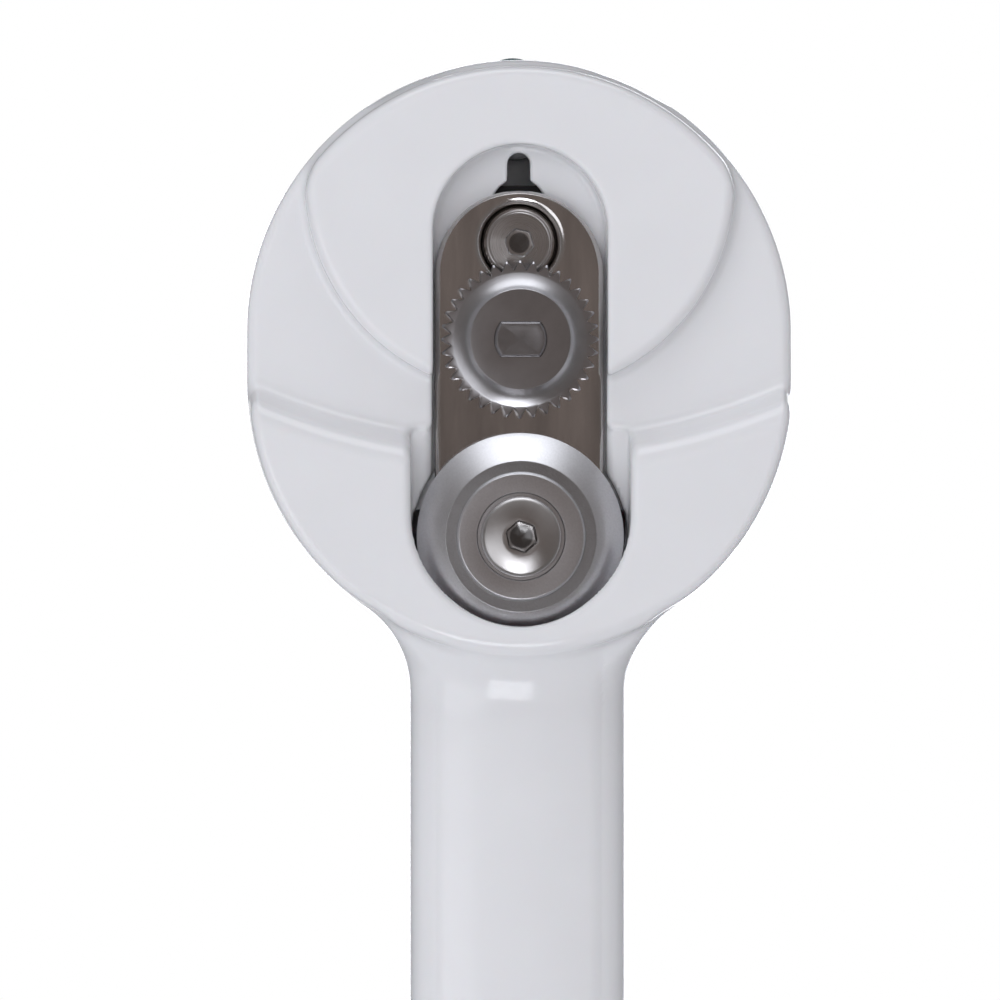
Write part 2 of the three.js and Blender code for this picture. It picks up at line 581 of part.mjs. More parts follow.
const sleeveY = [CUTTER_SCREW.seatY + 0.4, PLATE_FRONT_Y - GAP];
const cutterSleeve = () =>
  ring(CUTTER_SHANK_HOLE_R, CUTTER_SLEEVE_R, ...sleeveY, 0, CUTTER_Z, SMALL_ROUND);
const cutterWasher = () =>
  ring(CUTTER_SLEEVE_R + GAP, 6.5, CUTTER_EDGE_Y + GAP, PLATE_FRONT_Y - GAP, 0, CUTTER_Z);

function cutterNut() {
  const hex = slab(polygon(6, NUT_FLATS), PLATE_BACK_Y + GAP, NUT_BACK_Y).translate([0, 0, CUTTER_Z]);
  return cut(hex, disc(CUTTER_SHANK_HOLE_R, -20, 0, 0, CUTTER_Z, SMALL_ROUND));
}

// ---- springs ----

// Coil path along +z; the wire is drawn along it.
class Coil extends THREE.Curve {
  constructor(x, y, zLow, zHigh, radius, turns) {
    super();
    Object.assign(this, { x, y, zLow, zHigh, radius, turns });
  }

  getPoint(t, target = new THREE.Vector3()) {
    const angle = 2 * Math.PI * this.turns * t;
    return target.set(
      this.x + this.radius * Math.cos(angle),
      this.y + this.radius * Math.sin(angle),
      this.zLow + (this.zHigh - this.zLow) * t,
    );
  }
}

function returnSpring(x) {
  const { y, r, wireR, turns } = SPRING;
  const ends = GAP + wireR;
  const coil = new Coil(x, y, BLOCK_TOP_Z + ends, SPRING_STOP_Z - ends, r, turns);
  const section = new THREE.Shape().absarc(0, 0, wireR, 0, 2 * Math.PI, false);
  return solid(new THREE.ExtrudeGeometry(section, { steps: 48, extrudePath: coil, curveSegments: 2 }));
}

// ---- materials: one per kind of surface ----

const FINISH = {
  white: [0xe9e9ec, 0.18, 0],
  grip: [0x5f7a7c, 0.6, 0],
  black: [0x1b1a1c, 0.5, 0],
  acetal: [0xd9d6cc, 0.45, 0],
  polished: [0x8c8682, 0.12, 1],
  turned: [0x9c9a9a, 0.3, 1],
  matte: [0x77757a, 0.45, 1],
  zinc: [0xa8abb0, 0.35, 1],
  spring: [0x8f8f92, 0.3, 1],
};

function material(kind) {
  const [color, roughness, metalness] = FINISH[kind];
  return new THREE.MeshStandardMaterial({ color, roughness, metalness });
}

// ---- assembly ----

const assembly = new THREE.Group();
const driveAxis = new THREE.Group();
driveAxis.position.set(0, 0, AXIS_Z);
assembly.add(driveAxis);

function add(name, body, kind) {
  const mesh = new THREE.Mesh(geometryOf(body), material(kind));
  mesh.name = name;
  driveAxis.add(mesh);
}

add('wheel_side_housing', wheelSideHousing(), 'white');
add('knob_side_housing', knobSideHousing(), 'white');
for (const [name, [x, z]] of Object.entries(HOUSING_SCREWS)) add(name, housingScrew(x, z), 'zinc');
add('wheel_side_bush', bush(WHEEL_BUSH), 'acetal');
add('knob_side_bush', bush(KNOB_BUSH), 'acetal');

add('drive_shaft', driveShaft(), 'matte');
add('drive_wheel', driveWheel(), 'matte');
add('shaft_clip', shaftClip(), 'spring');
add('friction_hub', frictionHub(), 'zinc');
add('wave_washer', washer(WAVE_WASHER), 'spring');
add('thrust_washer', washer(THRUST_WASHER), 'acetal');
add('knob_body', knobBody(), 'white');
add('knob_grip', knobGrip(), 'grip');
add('knob_screw', knobScrew(), 'zinc');
add('knob_cap', knobCap(), 'white');
add('clamp_cam', clampCam(), 'black');

add('slide_plate', slidePlate(), 'polished');
add('slide_screw', slideScrew(), 'turned');
add('slide_block', slideBlock(), 'black');
add('follower_pin', followerPin(), 'turned');
add('cutter_screw', cutterScrew(), 'turned');
add('cutter_sleeve', cutterSleeve(), 'turned');
add('cutter_washer', cutterWasher(), 'turned');
add('cutter_nut', cutterNut(), 'zinc');
add('cutter_wheel', cutterWheel(), 'turned');
add('return_spring_left', returnSpring(-SPRING.x), 'spring');
add('return_spring_right', returnSpring(SPRING.x), 'spring');

export default assembly;
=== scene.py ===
"""One-handed can opener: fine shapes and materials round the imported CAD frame.

Lengths in the shape code are millimetres counted from the drive axis, x to the right and z up as
seen from the wheel side, y negative on the wheel side. Two makers build every visible piece: skin()
meshes the zero surface of a distance field, and ringed() strings closed rings of points together.
"""

import json
import math
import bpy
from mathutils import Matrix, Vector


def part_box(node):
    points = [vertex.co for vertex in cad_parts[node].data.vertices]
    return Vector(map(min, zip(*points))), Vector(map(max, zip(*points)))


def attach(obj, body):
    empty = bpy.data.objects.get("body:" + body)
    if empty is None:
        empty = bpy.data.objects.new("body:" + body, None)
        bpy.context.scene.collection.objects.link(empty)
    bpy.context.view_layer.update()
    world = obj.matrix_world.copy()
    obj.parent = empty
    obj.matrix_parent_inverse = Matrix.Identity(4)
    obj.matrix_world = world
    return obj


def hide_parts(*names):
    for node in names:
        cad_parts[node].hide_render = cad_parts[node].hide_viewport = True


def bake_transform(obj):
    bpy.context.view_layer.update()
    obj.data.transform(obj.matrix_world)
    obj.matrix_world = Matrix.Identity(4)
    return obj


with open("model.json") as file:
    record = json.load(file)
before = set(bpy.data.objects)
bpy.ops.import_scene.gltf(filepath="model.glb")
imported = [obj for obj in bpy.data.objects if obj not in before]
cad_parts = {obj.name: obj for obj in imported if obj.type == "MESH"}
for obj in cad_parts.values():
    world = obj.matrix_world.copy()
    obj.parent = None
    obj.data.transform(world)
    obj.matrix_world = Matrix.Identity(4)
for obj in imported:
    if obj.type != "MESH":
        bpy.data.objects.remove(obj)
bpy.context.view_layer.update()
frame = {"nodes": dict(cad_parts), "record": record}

from types import SimpleNamespace

import bpy
import numpy as np
from mathutils import Matrix, Vector

MM = 0.001
JOINTS = {joint["name"]: joint for joint in frame["record"]["behaviour"]["joints"]}
AXIS_Z = JOINTS["knob_turn"]["pos_m"][2] / MM


def extent(node):
    """A CAD node's box in millimetres from the drive axis, as low and high corners."""
    shift = Vector((0, 0, AXIS_Z))
    return [Vector(corner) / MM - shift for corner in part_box(node)]


SHELL_LOW, SHELL_HIGH = extent("wheel_side_housing")
BACK_LOW, BACK_HIGH = extent("knob_side_housing")
PLATE_LOW, PLATE_HIGH = extent("slide_plate")
CUTTER_LOW, CUTTER_HIGH = extent("cutter_wheel")
WHEEL_LOW, WHEEL_HIGH = extent("drive_wheel")
KNOB_LOW, KNOB_HIGH = extent("knob_body")
GRIP_LOW, GRIP_HIGH = extent("knob_grip")
CUTTER_Z = JOINTS["cutter_spin"]["pos_m"][2] / MM - AXIS_Z
SLIDE_SCREW_Z = (extent("slide_screw")[0].z + extent("slide_screw")[1].z) / 2

# ---- driving dimensions of the body, as in the CAD model ----

HEAD_R = SHELL_HIGH.x
HEAD_UPPER_Z = SHELL_HIGH.z - HEAD_R
HEAD_LOWER_Z = -5.4
HANDLE_HALF = 13.6
HANDLE_END_R = 9
NECK_R = 13
HANDLE_ROUND = 5
CROWN = 0.9
SWEEP_R = 12
SWEEP_LENGTH = 8.5
WALL = 2.4
HANDLE_FRONT_Y = -9.5
BACK_Y = 9.3
BACK_INNER_Y = 7
VALLEY_Y = -10.4
UPPER_Y = -13.6
LOWER_Y = SHELL_LOW.y
LEDGE_Y = -10
FLOOR_FRONT_Y = -7.6
FLOOR_BACK_Y = -5.8
PLATFORM_Y = BACK_HIGH.y
UPPER_DISC_R = 27.1
UPPER_DISC_Z = 20.1
RIM_ARC_R = 84
RIM_ARC_Z = -15.3 + RIM_ARC_R
RIM_SLOPE = 2.5
RECESS_HALF = 11
RECESS_TOP_Z = 24.6
U_HALF = 13.8
U_TOP_Z = -11.4
U_CENTRE_Z = -21.9
POCKET_R = 13.5
LIP_UNDER_Y = -14.4
FLOOR_HOLE_Z = -23.6
FLOOR_HOLE_TOP_Z = -21.5
KEY_HALF = 3.4
KEY_CENTRE_Z = 16.9
KEY_NECK_HALF = 1.45
KEY_TOP_Z = 23.6
NUT_ROOM_HALF = 5.3
BLOCK_BACK_Y = -2
RAIL_X = 8.3
RAIL_THICK = 2
RAIL_Z = (4, 24)
STOP_HALF = 9
STOP_Z = 30.2
STOP_THICK = 1.6
BUSH_HOLE_R = 5.5
BUSH_BOSS_WALL = 1.4
BUSH_BOSS_Y = -3
PIVOT_HOLE_R = 2.8
DIMPLE_FLOOR_Y = -8.7
TRAVEL = JOINTS["plate_slide"]["range_m"][1] / MM
SCREW_PLACES = [
    tuple(sum(extent(name), Vector()) / 2)[::2]
    for name in frame["nodes"]
    if name.startswith("housing_screw")
]

# ---- distance fields: negative inside, in millimetres ----


def both(a, b, r=0.0):
    """Inside a and b, with the edge rounded to radius r."""
    if np.isscalar(r) and not r:
        return np.maximum(a, b)
    return np.minimum(-r, np.maximum(a, b)) + np.hypot(np.maximum(a + r, 0), np.maximum(b + r, 0))


def either(a, b, r=0.0):
    """Inside a or b, with the inner corner filled to radius r."""
    if np.isscalar(r) and not r:
        return np.minimum(a, b)
    return np.maximum(r, np.minimum(a, b)) - np.hypot(np.maximum(r - a, 0), np.maximum(r - b, 0))


def without(a, b, r=0.0):
    return both(a, -b, r)


def circle(x, z, r, cz=0.0, cx=0.0):
    return np.hypot(x - cx, z - cz) - r


def slot(x, z, half, low, high, cx=0.0):
    """Straight sides and round ends; low and high are the centres of the round ends."""
    return np.hypot(x - cx, z - np.clip(z, low, high)) - half


def head_outline(x, z):
    return slot(x, z, HEAD_R, HEAD_LOWER_Z, HEAD_UPPER_Z)


def handle_outline(x, z):
    low = -AXIS_Z
    centre, half_z = (low - 15) / 2, (-15 - low) / 2
    u = np.abs(x) - (HANDLE_HALF - HANDLE_END_R)
    v = np.abs(z - centre) - (half_z - HANDLE_END_R)
    outside = np.hypot(np.maximum(u, 0), np.maximum(v, 0))
    return np.minimum(np.maximum(u, v), 0) + outside - HANDLE_END_R


def body_outline(x, z):
    """Head and handle, joined on each side by an arc of radius NECK_R that touches both."""
    arc_x = HANDLE_HALF + NECK_R
    drop = math.sqrt((HEAD_R + NECK_R)**2 - arc_x**2)
    u, v = arc_x - np.abs(x), z - HEAD_LOWER_Z + drop
    in_neck = (v > 0) & (v * arc_x < u * drop)
    plain = np.minimum(head_outline(x, z), handle_outline(x, z))
    return np.where(in_neck, NECK_R - np.hypot(u, v), plain)


def ease(value, low, high):
    """0 below low, 1 above high, smooth between."""
    t = np.clip((value - low) / (high - low), 0, 1)
    return t * t * (3 - 2 * t)


def edge_round(x, z, on_head):
    """Edge radius of the body: on_head round the head, easing to the handle's past the neck."""
    return on_head + (HANDLE_ROUND - on_head) * ease(head_outline(x, z), 0.5, 5)


def grip_face(x, y, z):
    """The handle's front, crowned across its width and sweeping up to the head at the neck."""
    crown = CROWN * (1 - np.minimum((x / (HANDLE_HALF - HANDLE_ROUND))**2, 1.5))
    near = np.clip(SWEEP_LENGTH - head_outline(x, z), 0, SWEEP_LENGTH)
    sweep = (SWEEP_R - np.sqrt(SWEEP_R**2 - near**2)) * ease(-z, 22, 27)
    return HANDLE_FRONT_Y - crown - sweep - y


def front_face(x, y, z):
    """Everything behind the wheel side's face: handle, valley and the two raised faces."""
    disc = circle(x, z, UPPER_DISC_R, UPPER_DISC_Z)
    upper = both(both(head_outline(x, z) + 0.8, disc, 1.6), UPPER_Y - y, 1.4)
    lean = RIM_SLOPE * np.clip((y - LOWER_Y) / (VALLEY_Y - LOWER_Y), 0, 1.2)
    rim_arc = 0.9 * (RIM_ARC_R - lean - np.hypot(x, z - RIM_ARC_Z))
    past_neck = ease(np.abs(x), 17, 23)
    lower = both(both(head_outline(x, z) - 0.9 * past_neck, rim_arc, 2.6), LOWER_Y - y, 1.9)
    valley = both(head_outline(x, z) - 3 * past_neck, VALLEY_Y - y, 1.3)
    face = either(either(grip_face(x, y, z), lower, 1.2), valley, 1.2)
    return face, upper


def recess(x, y, z):
    sides = slot(x, z, RECESS_HALF, CUTTER_Z, RECESS_TOP_Z - RECESS_HALF)
    return both(sides, y - FLOOR_FRONT_Y, 0.9)


def cutter_slot(x, y, z):
    sides = slot(x, z, U_HALF, U_CENTRE_Z, 20)
    return both(both(sides, z - U_TOP_Z, 0.8), y - LEDGE_Y, 0.3)


def cutter_pocket(x, y, z):
    round_wall = circle(x, z, POCKET_R, CUTTER_Z)
    return both(both(round_wall, y - FLOOR_FRONT_Y), LIP_UNDER_Y - y)


def keyhole(x, z):
    wide = slot(x, z, KEY_HALF, SLIDE_SCREW_Z, KEY_CENTRE_Z)
    neck = slot(x, z, KEY_NECK_HALF, KEY_CENTRE_Z, KEY_TOP_Z - KEY_NECK_HALF)
    return either(wide, neck, 0.25)


def block(x, y, z, low, high):
    sides = [np.maximum(a - p, p - b) for p, a, b in zip((x, y, z), low, high)]
    return np.maximum(np.maximum(sides[0], sides[1]), sides[2])


def shell_inside(x, y, z):
    """Guide rails beside the slide block, the springs' stop and the boss round the bush."""
    root = FLOOR_BACK_Y - 0.5
    rails = block(np.abs(x), y, z, (RAIL_X, root, RAIL_Z[0]), (RAIL_X + RAIL_THICK, BLOCK_BACK_Y, RAIL_Z[1]))
    stop = block(x, y, z, (-STOP_HALF, root, STOP_Z), (STOP_HALF, BLOCK_BACK_Y, STOP_Z + STOP_THICK))
    boss = both(both(circle(x, z, BUSH_HOLE_R + BUSH_BOSS_WALL), root - y), y - BUSH_BOSS_Y)
    return np.minimum(np.minimum(rails, stop), boss)


def wheel_side_shell(x, y, z):
    joint_face = SHELL_HIGH.y
    face, upper = front_face(x, y, z)
    body = both(body_outline(x, z), face, edge_round(x, z, 1.4))
    body = either(body, upper, 1.1)
    body = without(body, recess(x, y, z), 0.55)
    body = without(body, cutter_slot(x, y, z), 1.1)
    body = without(body, cutter_pocket(x, y, z), 0.25)
    hollow = both(body_outline(x, z) + WALL, FLOOR_BACK_Y - y, 1.0)
    body = without(body, hollow, 0.3)
    through = y - FLOOR_BACK_Y - 1
    floor_hole = both(circle(x, z, POCKET_R, FLOOR_HOLE_Z), z - FLOOR_HOLE_TOP_Z, 0.4)
    body = without(body, both(both(floor_hole, through), LIP_UNDER_Y - y), 0.3)
    body = without(body, both(keyhole(x, z), through), 0.3)
    for sx, sz in SCREW_PLACES:
        body = either(body, both(circle(x, z, 3.1, sz, sx), -7.8 - y), 0.3)
    body = either(body, shell_inside(x, y, z), 0.2)
    body = without(body, both(circle(x, z, BUSH_HOLE_R), y), 0.2)
    nut_room = slot(x, z, NUT_ROOM_HALF, CUTTER_Z, CUTTER_Z + TRAVEL)
    body = without(body, both(nut_room, through), 0.2)
    for sx, sz in SCREW_PLACES:
        body = without(body, both(circle(x, z, 1.5, sz, sx), -5 - y))
    return both(body, y - joint_face, 0.35)


def knob_side_shell(x, y, z):
    joint_face = BACK_LOW.y
    body = both(body_outline(x, z), y - BACK_Y, edge_round(x, z, 3))
    platform = both(circle(x, z, 18), y - PLATFORM_Y, 0.8)
    body = either(body, platform, 1.2)
    hollow = both(body_outline(x, z) + WALL, y - BACK_INNER_Y, 1.0)
    body = without(body, hollow, 0.3)
    for sx, sz in SCREW_PLACES:
        body = either(body, both(circle(x, z, 4.4, sz, sx), y - BACK_INNER_Y - 1), 0.4)
        body = without(body, both(circle(x, z, 3.1, sz, sx), 5 - y), 0.5)
        body = without(body, circle(x, z, 1.6, sz, sx))
    body = without(body, circle(x, z, 6.5), 0.3)
    return both(body, joint_face - y, 0.35)


# ---- knob fields ----

KNOB_HUB_R = GRIP_HIGH.x
KNOB_TIP_R = 4.5
KNOB_REACH = GRIP_HIGH.z - KNOB_TIP_R
KNOB_FLANK_R = 45


def knob_outline(x, z):
    """Round hub, round tips, and hollow flanks that touch both."""
    hub_span, tip_span = KNOB_HUB_R + KNOB_FLANK_R, KNOB_TIP_R + KNOB_FLANK_R
    flank_z = (hub_span**2 - tip_span**2 + KNOB_REACH**2) / (2 * KNOB_REACH)
    flank_x = math.sqrt(hub_span**2 - flank_z**2)
    u, v = np.abs(x), np.abs(z)
    du, dv = u - flank_x, v - flank_z
    past_hub = -flank_x * dv + flank_z * du < 0
    before_tip = du * (KNOB_REACH - flank_z) + dv * flank_x < 0
    rounds = np.minimum(circle(u, v, KNOB_HUB_R), circle(u, v, KNOB_TIP_R, KNOB_REACH))
    return np.where(past_hub & before_tip, KNOB_FLANK_R - np.hypot(du, dv), rounds)


def knob_shell(x, y, z):
    outline = knob_outline(x, z)
    crown_y = KNOB_HIGH.y - (x**2 / 60 + z**2 / 900)
    base = both(both(outline + 0.4, KNOB_LOW.y - y, 0.6), y - GRIP_LOW.y + 0.25, 0.5)
    core = both(outline + 2.3, both(KNOB_LOW.y + 1 - y, y - GRIP_HIGH.y - 1))
    crown = both(both(outline + 0.4, y - crown_y, 3.2), GRIP_HIGH.y + 0.25 - y, 0.5)
    body = either(either(base, core), crown)
    cap_seat = both(circle(x, z, 8.3), 26.2 - y)
    body = without(body, cap_seat, 0.4)
    body = without(body, both(circle(x, z, 9.2), y - 13))
    body = without(body, both(circle(x, z, 4.4), 23.6 - y))
    return without(body, both(np.abs(x) - 3.05, np.abs(z) - 3.05))


def knob_band(x, y, z):
    """Soft band round the knob, with fine grip ribs round its waist."""
    outline = knob_outline(x, z)
    middle, half = (GRIP_LOW.y + GRIP_HIGH.y) / 2, (GRIP_HIGH.y - GRIP_LOW.y) / 2
    offset = y - middle
    ribs = 0.22 * (1 + np.cos(offset * 2 * math.pi / 1.5)) / 2 * (np.abs(offset) < 3)
    band = both(outline + ribs, np.abs(offset) - half, 0.9)
    return without(band, outline + 2.0, 0.3)


# ---- plate and fastener fields ----


def slide_plate(x, y, z):
    half = PLATE_HIGH.x
    sides = slot(x, z, half, PLATE_LOW.z + half, PLATE_HIGH.z - half)
    plate = both(both(sides, PLATE_LOW.y - y, 0.75), y - PLATE_HIGH.y, 0.3)
    reach = 4.3
    plate = without(plate, slot(x, z, reach, -2.6, 0), 0.3)
    radial = np.hypot(x, z - SLIDE_SCREW_Z)
    depth = y - DIMPLE_FLOOR_Y
    slope_out = 0.7 * np.maximum(-depth, 0)
    dimple = both(radial - 4.5 - slope_out, depth, 0.2)
    plate = without(plate, dimple, 0.5)
    plate = without(plate, circle(x, z, PIVOT_HOLE_R, CUTTER_Z), 0.2)
    return without(plate, circle(x, z, 2.6, SLIDE_SCREW_Z), 0.2)


# ---- skin(): mesh of a field's zero surface ----


def line(low, high, step):
    return np.linspace(low, high, max(2, int(round((high - low) / step)) + 1))


def slope(field, p, reach=0.03):
    """The field's gradient at the points p, by central differences."""
    columns = []
    for axis in range(3):
        shift = np.zeros(3)
        shift[axis] = reach
        ahead, behind = p + shift, p - shift
        columns.append((field(*ahead.T) - field(*behind.T)) / (2 * reach))
    return np.stack(columns, axis=1)


def crossings(value, lines, axis):
    """Grid edges along axis where the sign changes: their low ends, the points, and the way out."""
    head = [slice(None)] * 3
    tail = [slice(None)] * 3
    head[axis], tail[axis] = slice(None, -1), slice(1, None)
    a, b = value[tuple(head)], value[tuple(tail)]
    where = (a < 0) != (b < 0)
    ends = np.argwhere(where)
    va, vb = a[where], b[where]
    points = np.stack([lines[k][ends[:, k]] for k in range(3)], axis=1)
    run = lines[axis][ends[:, axis] + 1] - lines[axis][ends[:, axis]]
    points[:, axis] += run * va / (va - vb)
    return ends, points, va < 0


def surface_net(field, lines):
    """Points and quads round the zero surface on a box grid; the surface must not touch its sides."""
    grid = np.meshgrid(*lines, indexing="ij", sparse=True)
    value = np.broadcast_to(field(*grid), [len(row) for row in lines])
    cells = np.array(value.shape) - 1
    total, count = np.zeros((cells.prod(), 3)), np.zeros(cells.prod())
    sides = []
    for axis in range(3):
        ends, points, outward = crossings(value, lines, axis)
        u, v = [k for k in range(3) if k != axis]
        ring = []
        for du, dv in ((0, 0), (1, 0), (1, 1), (0, 1)):
            cell = ends.copy()
            cell[:, u] -= du
            cell[:, v] -= dv
            flat = np.ravel_multi_index(cell.T, cells)
            ring.append(flat)
            count += np.bincount(flat, minlength=len(count))
            for k in range(3):
                total[:, k] += np.bincount(flat, points[:, k], minlength=len(count))
        quads = np.stack(ring, axis=1)
        flip = outward if axis == 1 else ~outward
        quads[flip] = quads[flip][:, ::-1]
        sides.append(quads)
    used = count > 0
    index = np.cumsum(used) - 1
    return total[used] / count[used, None], index[np.concatenate(sides)]


def skin(name, field, lines, passes=4):
    """Object on the field's zero surface, its points settled on it and its normals the field's own."""
    points, quads = surface_net(field, lines)
    for _ in range(passes):
        gradient = slope(field, points)
        length = np.maximum((gradient**2).sum(axis=1, keepdims=True), 0.05)
        step = field(*points.T)[:, None] * gradient / length
        points = points - np.clip(step, -0.25, 0.25)
    normals = slope(field, points)
    normals /= np.maximum(np.linalg.norm(normals, axis=1, keepdims=True), 1e-9)
    mesh = new_mesh(name, points, quads)
    mesh.normals_split_custom_set_from_vertices(normals.tolist())
    return place(name, mesh)


# ---- ringed(): closed rings strung together ----


def new_mesh(name, points, faces):
    mesh = bpy.data.meshes.new(name)
    shifted = (np.asarray(points, float) + (0, 0, AXIS_Z)) * MM
    mesh.from_pydata(shifted.tolist(), [], faces.tolist() if hasattr(faces, "tolist") else faces)
    mesh.validate()
    return mesh


def place(name, mesh):
    obj = bpy.data.objects.new(name, mesh)
    bpy.context.scene.collection.objects.link(obj)
    return obj


def ringed(name, rings, z=0.0, sides=192, sharp=35):
    """Turned or star-shaped piece about the Y axis. Each ring is (radius, y), the radius a number or
    a function of the angle; radius 0 closes an end, and the last ring joins the first otherwise."""
    angle = np.arange(sides) * 2 * math.pi / sides
    points, rows = [], []
    for radius, y in rings:
        start = len(points)
        if np.isscalar(radius) and radius == 0:
            points.append((0, y, z))
            rows.append([start] * sides)
            continue
        r = radius(angle) if callable(radius) else np.full(sides, radius)
        level = y(angle) if callable(y) else np.full(sides, y)
        points += list(zip(r * np.sin(angle), level, z + r * np.cos(angle)))
        rows.append(list(range(start, start + sides)))
    open_ended = len(set(rows[0])) > 1
    pairs = list(zip(rows, rows[1:])) + ([(rows[-1], rows[0])] if open_ended else [])
    faces = []
    for low, high in pairs:
        for i in range(sides):
            j = (i + 1) % sides
            face = list(dict.fromkeys((low[i], high[i], high[j], low[j])))
            faces.append(face)
    mesh = new_mesh(name, points, faces)
    if volume(mesh) < 0:
        mesh.flip_normals()
    mesh.shade_smooth()
    mesh.set_sharp_from_angle(angle=math.radians(sharp))
    return place(name, mesh)


def volume(mesh):
    mesh.calc_loop_triangles()
    total = 0.0
    for triangle in mesh.loop_triangles:
        a, b, c = (mesh.vertices[i].co for i in triangle.vertices)
        total += a.dot(b.cross(c))
    return total


def profile(corners, steps=4):
    """Rings from corner points (radius, y, rounding): each corner is turned by an arc."""
    rings = []
    for i, (r, y, rounding) in enumerate(corners):
        here = np.array((r, y), float)
        if not rounding:
            rings.append((r, y))
            continue
        before = np.array(corners[i - 1][:2], float) - here
        after = np.array(corners[(i + 1) % len(corners)][:2], float) - here
        before, after = before / np.linalg.norm(before), after / np.linalg.norm(after)
        half = math.acos(np.clip(before @ after, -1, 1)) / 2
        centre = here + (before + after) / np.linalg.norm(before + after) * rounding / math.sin(half)
        start, end = [here + way * rounding / math.tan(half) - centre for way in (before, after)]
        for k in range(steps + 1):
            way = start * (1 - k / steps) + end * k / steps
            rings.append(tuple(centre + way / np.linalg.norm(way) * rounding))
    return rings


def hexagon(flats, turn=0.0, soft=0.08):
    """Radius of a hexagon of this width across flats, its corners a little blunt."""
    def radius(angle):
        lean = np.mod(angle + turn, math.pi / 3) - math.pi / 6
        return np.minimum(flats / 2 / np.cos(lean), flats / math.sqrt(3) - soft)
    return radius


def double_d(half_length, half_height):
    def radius(angle):
        return np.minimum(half_length, half_height / np.maximum(np.abs(np.cos(angle)), 1e-6))
    return radius


def teeth(tip, root, count, blunt=0.12):
    """Radius of pointed teeth with slightly blunt tips and round roots."""
    def radius(angle):
        wave = np.abs(np.mod(angle * count / (2 * math.pi) + 0.5, 1) - 0.5) * 2
        soft = np.clip(wave, blunt, 1 - blunt)
        return tip + (root - tip) * (soft - blunt) / (1 - 2 * blunt)
    return radius


# ---- materials ----


def material(name, colour, roughness, metallic=0.0, **sockets):
    made = bpy.data.materials.new(name)
    made.use_nodes = True
    nodes, links = made.node_tree.nodes, made.node_tree.links
    shader = nodes["Principled BSDF"]
    shader.inputs["Base Color"].default_value = (*colour, 1)
    shader.inputs["Roughness"].default_value = roughness
    shader.inputs["Metallic"].default_value = metallic
    for key, value in sockets.items():
        shader.inputs[key.replace("_", " ")].default_value = value
    where = nodes.new("ShaderNodeTexCoord").outputs["Object"]
    return SimpleNamespace(made=made, nodes=nodes, links=links, shader=shader, where=where, colour=colour,
                           roughness=roughness, height=None)


def noise(m, scale, detail=3.0, stretch=(1, 1, 1), rough=0.55):
    """Noise in object space, scale in features per metre."""
    mapping = m.nodes.new("ShaderNodeMapping")
    mapping.inputs["Scale"].default_value = stretch
    m.links.new(m.where, mapping.inputs["Vector"])
    texture = m.nodes.new("ShaderNodeTexNoise")
    texture.inputs["Scale"].default_value = scale
    texture.inputs["Detail"].default_value = detail
    texture.inputs["Roughness"].default_value = rough
    m.links.new(mapping.outputs["Vector"], texture.inputs["Vector"])
    return texture.outputs["Fac"]


def remap(m, value, low, high, start=0.3, end=0.7):
    node = m.nodes.new("ShaderNodeMapRange")
    for key, number in (("From Min", start), ("From Max", end), ("To Min", low), ("To Max", high)):
        node.inputs[key].default_value = number
    m.links.new(value, node.inputs["Value"])
    return node.outputs["Result"]


def tint(m, value, low, high):
    """Base colour that runs from low to high times the material's own colour."""
    node = m.nodes.new("ShaderNodeMix")
    node.data_type = "RGBA"
    node.inputs["A"].default_value = (*[c * low for c in m.colour], 1)
    node.inputs["B"].default_value = (*[min(1, c * high) for c in m.colour], 1)
    m.links.new(value, node.inputs["Factor"])
    m.links.new(node.outputs["Result"], m.shader.inputs["Base Color"])


def vary_roughness(m, value, low, high):
    m.links.new(remap(m, value, low, high), m.shader.inputs["Roughness"])


def bump(m, value, distance, strength=1.0):
    """Adds a height; distance is in metres."""
    node = m.nodes.new("ShaderNodeBump")
    node.inputs["Distance"].default_value = distance
    node.inputs["Strength"].default_value = strength
    m.links.new(value, node.inputs["Height"])
    if m.height:
        m.links.new(m.height, node.inputs["Normal"])
    m.height = node.outputs["Normal"]
    m.links.new(m.height, m.shader.inputs["Normal"])


def gloss_plastic():
    m = material("white_abs", (0.82, 0.82, 0.835), 0.2, Specular_IOR_Level=0.5, Coat_Weight=0.25,
                 Coat_Roughness=0.06, Subsurface_Weight=0.04, Subsurface_Scale=0.002)
    tint(m, remap(m, noise(m, 60, 2), 0, 1), 0.985, 1.01)
    vary_roughness(m, noise(m, 900, 4), 0.18, 0.27)
    bump(m, noise(m, 260, 2), 0.00002, 0.25)
    return m.made


def soft_grip():
    m = material("soft_grip", (0.10, 0.155, 0.16), 0.55, Sheen_Weight=0.25, Sheen_Roughness=0.4)
    tint(m, remap(m, noise(m, 300, 4), 0, 1), 0.88, 1.1)
    vary_roughness(m, noise(m, 1500, 3), 0.48, 0.64)
    bump(m, noise(m, 6000, 2), 0.00002, 0.5)
    return m.made


def moulded(name, colour, rough):
    m = material(name, colour, rough)
    tint(m, remap(m, noise(m, 200, 3), 0, 1), 0.9, 1.08)
    vary_roughness(m, noise(m, 1200, 3), rough - 0.06, rough + 0.08)
    bump(m, noise(m, 4000, 2), 0.00001, 0.5)
    return m.made


def polished_sheet():
    """Bright rolled sheet: faint lengthwise rolling lines and a few handling marks."""
    m = material("polished_sheet", (0.74, 0.715, 0.70), 0.14, 1.0)
    lines = noise(m, 700, 4, (6, 6, 0.12))
    vary_roughness(m, lines, 0.10, 0.2)
    tint(m, remap(m, noise(m, 90, 5, (2, 2, 0.35)), 0, 1), 0.62, 1.12)
    bump(m, noise(m, 110, 3, (1, 1, 0.4)), 0.00022, 0.5)
    bump(m, lines, 0.000006, 0.6)
    return m.made


